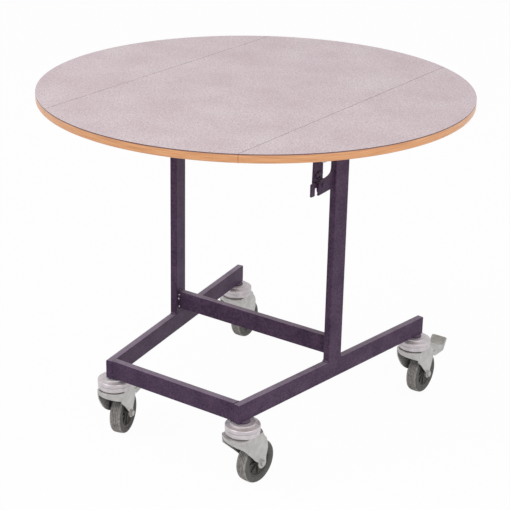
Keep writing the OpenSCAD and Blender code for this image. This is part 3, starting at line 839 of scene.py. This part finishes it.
def spinProfile(half, steps, s):
    # closes the half profile with its mirror and spins it round the x axis
    loop = half + [(-x, r) for x, r in reversed(half)]
    bpy.ops.object.select_all(action="DESELECT")
    bpy.ops.mesh.primitive_circle_add(vertices=len(loop), radius=0.01)
    obj = bpy.context.object
    for vertex, (x, r) in zip(obj.data.vertices, loop):
        vertex.co = (x / 1000, 0, r / 1000)
    bpy.ops.object.mode_set(mode="EDIT")
    bpy.ops.mesh.select_all(action="SELECT")
    bpy.ops.mesh.spin(steps=steps, angle=2 * math.pi, center=(0, 0, 0), axis=(1, 0, 0), use_auto_merge=True)
    bpy.ops.mesh.select_all(action="SELECT")
    bpy.ops.mesh.remove_doubles(threshold=s["merge"])
    bpy.ops.mesh.normals_make_consistent(inside=False)
    bpy.ops.object.mode_set(mode="OBJECT")
    bpy.ops.object.shade_smooth_by_angle(angle=math.radians(s["smoothAngle"]))
    return obj


def hubRibs(s):
    size = (s["ribAcross"] / 1000, s["ribThickness"] / 1000, s["ribLong"] / 1000)
    bpy.ops.object.select_all(action="DESELECT")
    bpy.ops.mesh.primitive_cube_add(size=1, location=(0, 0, s["ribMiddle"] / 1000), scale=size)
    rib = bpy.context.object
    bpy.ops.object.transform_apply(location=True, rotation=True, scale=True)
    bevelEdges(rib, s["ribEdge"], 2, 30)
    ribs = [rib]
    for i in range(1, s["ribs"]):
        twin = copyOf(rib)
        twin.matrix_world = Matrix.Rotation(2 * math.pi * i / s["ribs"], 4, "X")
        selectOnly(twin)
        bpy.ops.object.transform_apply(location=True, rotation=True, scale=True)
        ribs.append(twin)
    return ribs


def fitWheel(caster, joint, masters, s):
    body = bodyOf(caster + "_tyre")
    tyre, hub = [copyOf(master) for master in masters]
    tyre.name = caster + "RibbedTyre"
    hub.name = caster + "RibbedHub"
    sides = [abs(face.center.x) > s["treadHalf"] / 1000 for face in tyre.data.polygons]
    for piece in (tyre, hub):
        piece.matrix_world = Matrix.Translation(joint["pos_m"]) @ casterTurn(joint)
    settle(tyre, body, "tyre_rubber", caster + "_tyre")
    tyre.data.materials.append(finishes["sidewall_rubber"])
    for face, side in zip(tyre.data.polygons, sides):
        face.material_index = 1 if side else 0
    settle(hub, body, "hub_plastic", caster + "_hub")


tyreToCopy = spinProfile(wheelSettings["tyreProfile"], wheelSettings["tyreSteps"], wheelSettings)
hubCore = spinProfile(wheelSettings["hubProfile"], wheelSettings["hubSteps"], wheelSettings)
hubToCopy = joinInto("hubToCopy", [hubCore] + hubRibs(wheelSettings))
for caster, facts in casters.items():
    fitWheel(caster, jointNamed(facts["roll"]), (tyreToCopy, hubToCopy), wheelSettings)
for piece in (tyreToCopy, hubToCopy):
    bpy.data.objects.remove(piece)
print("wheels made")


# latch

latchSettings = {  # mm; y and z of the outlines from the pin, x in spans
    "pin": (-52.0, 604.0),
    "pinRadius": 3.0,
    "bore": (190, 210),
    "plate": (198.5, 203.5),
    "flare": [(38.3, 24.5), (34.5, 21.5), (32.5, 18.8), (29.7, 15.8), (23.7, 13), (12.9, 11)],
    "lobe": 15.8,
    "lobeCentre": (-1.5, -4.5),
    "foot": [(-15.5, -19), (0, -18.5), (38.3, -16.9)],
    "stop": (-32.7, 607.0),
    "stopSpan": (188.4, 199.5),
    "rivetOut": (1.8, 1.6),     # beyond the lever, beyond the plate
    "rivetHead": 5.0,
    "headHigh": 1.4,
    "lever": (194.6, 198.0),
    "notch": [(-21.3, -20), (-8, -20), (-8, -3.2), (-21.3, -3.2)],
    "wedge": [(-72, 612), (-70.5, 612), (-66.6, 740), (-72, 740)],      # from the frame's own origin
    "wedgeSpan": (187.5, 193),
    "edges": {"plate": 0.5, "rivet": 0.6, "lever": 0.4, "bar": 0.4},
}


def finishLatchPiece(obj, name, edge, body, replaced):
    easeEdges(obj, edge)
    obj.name = name
    settle(obj, body, "frame_paint", replaced)


def latchPlate(s):
    # welded to the upright, with a lobe round the pin and a stop for the lever
    y, z = s["pin"]
    aside, down = s["lobeCentre"]
    turns = [math.radians(d) for d in range(80, 221, 10)]
    lobe = [(aside + s["lobe"] * math.cos(a), down + s["lobe"] * math.sin(a)) for a in turns]
    plate = mmBlock([(y + a, z + b) for a, b in s["flare"] + lobe + s["foot"]], "x", *s["plate"])
    combine(plate, mmRod(s["pinRadius"], *s["bore"], s["pin"]), "DIFFERENCE")
    return combine(plate, mmRod(s["pinRadius"], *s["stopSpan"], s["stop"]), "UNION")


def latchRivet(s):
    # the lever turns on it
    low, high = s["lever"][0] - s["rivetOut"][0], s["plate"][1] + s["rivetOut"][1]
    rivet = mmRod(s["pinRadius"], low, high, s["pin"])
    combine(rivet, mmRod(s["rivetHead"], low, low + s["headHigh"], s["pin"]), "UNION")
    return combine(rivet, mmRod(s["rivetHead"], s["plate"][1], high, s["pin"]), "UNION")


def latchLever(s):
    # with a deeper notch beside its tail
    y, z = s["pin"]
    notch = [(y + a, z + b) for a, b in s["notch"]]
    cutter = mmBlock(notch, "x", s["lever"][0] - 1, s["lever"][1] + 1)
    return combine(bareCopy("latch_lever"), cutter, "DIFFERENCE")


def catchBar(s):
    # a little narrower towards the bearer
    return combine(bareCopy("catch_bar"), mmBlock(s["wedge"], "x", *s["wedgeSpan"]), "DIFFERENCE")


def buildLatch(s):
    edges = s["edges"]
    finishLatchPiece(latchPlate(s), "latchArm", edges["plate"], "base", "latch_plate")
    finishLatchPiece(latchRivet(s), "latchRivet", edges["rivet"], "base", "latch_pin")
    finishLatchPiece(latchLever(s), "latchLever", edges["lever"], "latch", "latch_lever")
    finishLatchPiece(catchBar(s), "catchBar", edges["bar"], "tilting_top", "catch_bar")


buildLatch(latchSettings)
print("latch made")


# welds

weldSettings = {  # mm
    "fillet": 2.4,          # radii of the beads
    "footSeam": 1.5,
    "frontSeam": 1.4,
    "topSeam": 1.6,
    "socketBead": 1.7,
    "latchFillet": 1.7,
    "memberFillet": 1.9,
    "catchFillet": 1.5,
    "pitch": 2.3,
    "jog": 0.25,            # how far the hand strays
    "valley": 0.76,         # size of the bead between two ripples
    "swell": (0.92, 1.08),
    "smoothAngle": 60,
    "seed": 7,
    "off": 0.5,             # middle of a fillet from the face behind it
    "beside": 0.4,          # and from the face beside it
    "end": 1.5,             # bare length at the ends of a bead
}

frameSizes = {  # mm, as in the frame's tubes
    "frontX": 172.4, "frontY": -288.2, "splay": math.radians(8.2),
    "tubeW": 16, "tubeH": 41, "railBottom": 156.2, "railTop": 197.2,
    "uprightStart": 275, "pivotY": 5.42, "crossBottom": 209,
    "frontRailFront": -286, "frontRailBack": -270, "railLong": 607.5,
    "frontSocket": 20.3, "rearSocket": 17.6, "socketHalf": 12,     # sockets from the rail's two ends
    "latchFaces": (198.3, 203.7), "latchHeights": (590, 627),
}

topSizes = {  # mm, as in the bearers and cross members
    "faceX": 183.6, "memberY": (-170, 150), "memberW": 20, "memberHeights": (719, 737), "memberFoot": 717.7,
    "catchX": 188.4, "catchY": (-66.8, -35.8), "catchHeights": (701, 736),
}

weldDice = random.Random(weldSettings["seed"])


def onRail(side, across, along, z):
    # a point beside a side rail: across is negative inward, along runs to the rear
    s = frameSizes
    x = side * (s["frontX"] + along * math.sin(s["splay"]) + across * math.cos(s["splay"]))
    y = s["frontY"] + along * math.cos(s["splay"]) - across * math.sin(s["splay"])
    return Vector((x, y, z))


def alongAt(y, across):
    s = frameSizes
    return (y - s["frontY"] + across * math.sin(s["splay"])) / math.cos(s["splay"])


def layBead(name, start, end):
    # rippled run of weld from start to end, in mm; its radius goes by its name
    s = weldSettings
    count = max(2, round((end - start).length / (s["pitch"] / 2)))
    points = [start.lerp(end, i / count) for i in range(count)] + [end]
    curve = bpy.data.curves.new(name, "CURVE")
    curve.dimensions = "3D"
    curve.bevel_depth = s[name] / 1000
    curve.bevel_resolution = 2
    curve.use_fill_caps = True
    spline = curve.splines.new("POLY")
    spline.points.add(len(points) - 1)
    for i, (point, p) in enumerate(zip(spline.points, points)):
        jog = Vector([weldDice.uniform(-s["jog"], s["jog"]) for k in range(3)])
        point.co = (*((p + jog) / 1000), 1)
        point.radius = (1.0 if i % 2 else s["valley"]) * weldDice.uniform(*s["swell"])
    obj = bpy.data.objects.new(name, curve)
    scene.collection.objects.link(obj)
    selectOnly(obj)
    bpy.ops.object.convert(target="MESH")
    bead = bpy.context.object
    bpy.ops.object.shade_smooth_by_angle(angle=math.radians(s["smoothAngle"]))
    return bead


def footWelds(side, s, w):
    # round the foot of the upright: fillets in front and behind, flush seams on the faces
    near = s["uprightStart"]
    far = near + s["tubeH"]
    foot = s["railTop"]
    wide = s["tubeW"]
    out = 0.6
    sunk = 0.7
    beads = []
    for a in (near - out, far + out):
        beads.append(layBead("fillet", onRail(side, -w["end"], a, foot + w["off"]),
                             onRail(side, w["end"] - wide, a, foot + w["off"])))
    for n in (-sunk, sunk - wide):
        beads.append(layBead("footSeam", onRail(side, n, near + 1, foot), onRail(side, n, far - 1, foot)))
    return beads


def crossWelds(side, s, w):
    # cross rail to the inner face of the upright, all round
    wide, n = s["tubeW"], -s["tubeW"]
    low = s["crossBottom"]
    high = low + s["tubeH"]
    face = n - w["off"]
    beads = []
    for y in (s["pivotY"] - wide / 2 - w["beside"], s["pivotY"] + wide / 2 + w["beside"]):
        a = alongAt(y, n)
        beads.append(layBead("fillet", onRail(side, face, a, low + w["end"]),
                             onRail(side, face, a, high - w["end"])))
    ends = [alongAt(y, n) for y in (s["pivotY"] - wide / 2 + 1, s["pivotY"] + wide / 2 - 1)]
    for z in (low - w["beside"], high + w["beside"]):
        beads.append(layBead("fillet", *[onRail(side, face, a, z) for a in ends]))
    return beads


def frontWelds(side, s, w):
    # front rail to the side rail
    n = -s["tubeW"]
    low, high = s["railBottom"] + 2, s["railTop"] - 1
    inner = alongAt(s["frontRailBack"] + w["beside"], n)
    front = alongAt(s["frontRailFront"], n)
    face = n - w["off"]
    beads = [layBead("fillet", onRail(side, face, inner, low), onRail(side, face, inner, high))]
    a, across = front + 0.6, n + 0.2
    beads.append(layBead("frontSeam", onRail(side, across, a, low), onRail(side, across, a, high)))
    for z in (s["railTop"], s["railBottom"] + 0.8):
        beads.append(layBead("topSeam", onRail(side, n, front + w["end"], z), onRail(side, n, inner - 1, z)))
    return beads


def socketWelds(side, s, w):
    # caster sockets under the rail
    beads = []
    z = s["railBottom"] - 0.6
    for middle in (s["frontSocket"], s["railLong"] - s["rearSocket"]):
        start = max(middle - s["socketHalf"], w["end"])
        end = min(middle + s["socketHalf"], s["railLong"] - w["end"])
        for n in (-0.2, 0.2 - s["tubeW"]):
            beads.append(layBead("socketBead", onRail(side, n, start, z), onRail(side, n, end, z)))
    return beads


def latchWelds(s, w):
    # latch plate to the front of the right upright
    low, high = s["latchHeights"]
    a = s["uprightStart"] - w["beside"]
    beads = []
    for x in s["latchFaces"]:
        n = (x - s["frontX"] - s["uprightStart"] * math.sin(s["splay"])) / math.cos(s["splay"])
        beads.append(layBead("latchFillet", onRail(1, n, a, low), onRail(1, n, a, high)))
    return beads


def weldTheBase(s, w):
    beads = []
    for side in (1, -1):
        for weld in (footWelds, crossWelds, frontWelds, socketWelds):
            beads += weld(side, s, w)
    beads += latchWelds(s, w)
    settle(joinInto("frameWelds", beads), "base", "frame_paint")


def weldTheTop(s, w):
    low, high = s["memberHeights"]
    beads = []
    for side in (1, -1):
        x = side * s["faceX"]
        for front in s["memberY"]:
            back = front + s["memberW"]
            for y in (front - w["beside"], back + w["beside"]):
                beads.append(layBead("memberFillet", Vector((x, y, low)), Vector((x, y, high))))
            beads.append(layBead("memberFillet", Vector((x, front + 1, s["memberFoot"])),
                                 Vector((x, back - 1, s["memberFoot"]))))
    low, high = s["catchHeights"]
    for y in s["catchY"]:
        beads.append(layBead("catchFillet", Vector((s["catchX"], y, low)), Vector((s["catchX"], y, high))))
    settle(joinInto("bearerWelds", beads), "tilting_top", "frame_paint")


weldTheBase(frameSizes, weldSettings)
weldTheTop(topSizes, weldSettings)
print("welds laid")


# three bright specks on the weld between left upright and cross rail: spatter lumps whose pale colour is a
# painted highlight

spatterSettings = {
    "lumps": [(-195.6, -4.4, 243.3, 1.8), (-196.2, -5.2, 233.4, 2.1), (-195.4, -4.6, 214.8, 2.2)],
    "stretch": (0.75, 1.1),
    "waveDepth": 0.1,
    "waves": (1900, 1500),
    "seed": 5,
}


def spatterLumps(s):
    pick = random.Random(s["seed"])
    lumps = []
    for x, y, z, radius in s["lumps"]:
        bpy.ops.object.select_all(action="DESELECT")
        bpy.ops.mesh.primitive_ico_sphere_add(subdivisions=3, radius=radius / 1000)
        lump = bpy.context.object
        bulge = [pick.uniform(*s["stretch"]) for i in range(3)]
        for vertex in lump.data.vertices:
            phase = vertex.co.x * s["waves"][0] * bulge[0] + vertex.co.z * s["waves"][1]
            wave = 1 + s["waveDepth"] * math.sin(phase)
            vertex.co = Vector([vertex.co[i] * bulge[i] * wave for i in range(3)])
        lump.location = Vector((x, y, z)) / 1000
        selectOnly(lump)
        bpy.ops.object.shade_smooth()
        lumps.append(lump)
    # the pale finish on the lumps is a painted highlight
    settle(joinInto("weldSpatterHighlights", lumps), "base", "frame_paint", finish="spatter_highlight")


spatterLumps(spatterSettings)
print("spatter made")


# screws

screwSettings = {  # mm
    "radius": 3.5,
    "height": 1.9,
    "slotLong": 3.6,
    "slotWide": 0.8,
    "slotDeep": 1.1,
    "edge": 0.9,
    "steps": 28,
}

screwPlaces = {  # mm
    "seat": 740.2,          # underside of the hinge plates
    "bracketSeat": 738.1,   # and of the stay brackets
    "hinges": (-260, 0, 260),
    "besideHinge": (-20, 0, 20),
    "centreX": 215,
    "leafX": 245,
    "bracketX": 172,
    "bracketY": (60, 220),
    "lugX": (312, 328),
    "lugY": (-115.4, -205.4),
    "seed": 11,
}


def crossHeadScrew(s):
    # pan head with a cross recess, head down, its seat at the origin
    bpy.ops.object.select_all(action="DESELECT")
    bpy.ops.mesh.primitive_cylinder_add(vertices=s["steps"], radius=s["radius"] / 1000,
                                        depth=s["height"] / 1000, location=(0, 0, -s["height"] / 2000))
    head = bpy.context.object
    bpy.ops.object.transform_apply(location=True, rotation=True, scale=True)
    bevelEdges(head, s["edge"], 3, 60)
    size = (s["slotLong"] / 1000, s["slotWide"] / 1000, 2 * s["slotDeep"] / 1000)
    for turn in (0, math.pi / 2):
        bpy.ops.object.select_all(action="DESELECT")
        bpy.ops.mesh.primitive_cube_add(size=1, location=(0, 0, -s["height"] / 1000), rotation=(0, 0, turn),
                                        scale=size)
        combine(head, bpy.context.object, "DIFFERENCE")
    selectOnly(head)
    bpy.ops.object.shade_smooth_by_angle(angle=math.radians(40))
    return head


def screwSet(name, body, places):
    master = crossHeadScrew(screwSettings)
    copies = []
    for x, y, z, turn in places:
        screw = copyOf(master)
        screw.matrix_world = (Matrix.Translation((x / 1000, y / 1000, z / 1000))
                              @ Matrix.Rotation(math.radians(turn), 4, "Z"))
        selectOnly(screw)
        bpy.ops.object.transform_apply(location=True, rotation=True, scale=True)
        copies.append(screw)
    bpy.data.objects.remove(master)
    settle(joinInto(name, copies), body, "zinc_plate")


def driveScrews(s):
    # each screw stops at its own turn
    dice = random.Random(s["seed"])
    plates = [y + beside for y in s["hinges"] for beside in s["besideHinge"]]
    hinges = [(side * s["centreX"], y, s["seat"], dice.uniform(0, 90)) for side in (1, -1) for y in plates]
    brackets = [(side * s["bracketX"], end * y, s["bracketSeat"], dice.uniform(0, 90))
                for side in (1, -1) for end in (1, -1) for y in s["bracketY"]]
    screwSet("centreHingeScrews", "tilting_top", hinges + brackets)
    for side, body in ((1, "right_leaf"), (-1, "left_leaf")):
        lugs = [(side * x, y, s["seat"], dice.uniform(0, 90)) for y in s["lugY"] for x in s["lugX"]]
        hinges = [(side * s["leafX"], y, s["seat"], dice.uniform(0, 90)) for y in plates]
        screwSet(body + "Screws", body, hinges + lugs)


driveScrews(screwPlaces)
print("screws driven")


# floor and backdrop

floorSettings = {
    "size": 60,
    "paper": "#F2F1F1",
    "whiteShare": 0.96,     # plain white in what the camera sees; the rest takes light and a faint shadow
}


def makeFloor(s):
    bpy.ops.object.select_all(action="DESELECT")
    bpy.ops.mesh.primitive_plane_add(size=s["size"], location=(0, 0, 0))
    floor = bpy.context.object
    floor.name = "studioFloor"
    mat = bpy.data.materials.new("paperSweep")
    mat.use_nodes = True
    tree = mat.node_tree
    tree.nodes.clear()
    paper = addNode(tree, "ShaderNodeBsdfDiffuse", {"Color": toLinear(s["paper"])})
    white = addNode(tree, "ShaderNodeEmission", {"Strength": 1.0})
    path = addNode(tree, "ShaderNodeLightPath")
    seen = addNode(tree, "ShaderNodeMath", {"operation": "MAXIMUM"},
                   {0: path.outputs["Is Camera Ray"], 1: path.outputs["Is Glossy Ray"]})
    share = addNode(tree, "ShaderNodeMath", {"operation": "MULTIPLY", 1: s["whiteShare"]},
                    {0: seen.outputs[0]})
    mix = addNode(tree, "ShaderNodeMixShader",
                  links={0: share.outputs[0], 1: paper.outputs[0], 2: white.outputs[0]})
    addNode(tree, "ShaderNodeOutputMaterial", links={"Surface": mix.outputs[0]})
    floor.data.materials.append(mat)


def makeSky(strength):
    world = bpy.data.worlds.new("studio")
    scene.world = world
    world.use_nodes = True
    tree = world.node_tree
    tree.nodes.clear()
    soft = addNode(tree, "ShaderNodeBackground", {"Color": (1, 1, 1, 1), "Strength": strength})
    white = addNode(tree, "ShaderNodeBackground", {"Color": (1, 1, 1, 1), "Strength": 1.0})
    path = addNode(tree, "ShaderNodeLightPath")
    seen = addNode(tree, "ShaderNodeMath", {"operation": "MAXIMUM"},
                   {0: path.outputs["Is Camera Ray"], 1: path.outputs["Is Glossy Ray"]})
    mix = addNode(tree, "ShaderNodeMixShader",
                  links={0: seen.outputs[0], 1: soft.outputs[0], 2: white.outputs[0]})
    addNode(tree, "ShaderNodeOutputWorld", links={"Surface": mix.outputs[0]})


makeFloor(floorSettings)
makeSky(lightSettings["sky"])
print("floor and backdrop made")
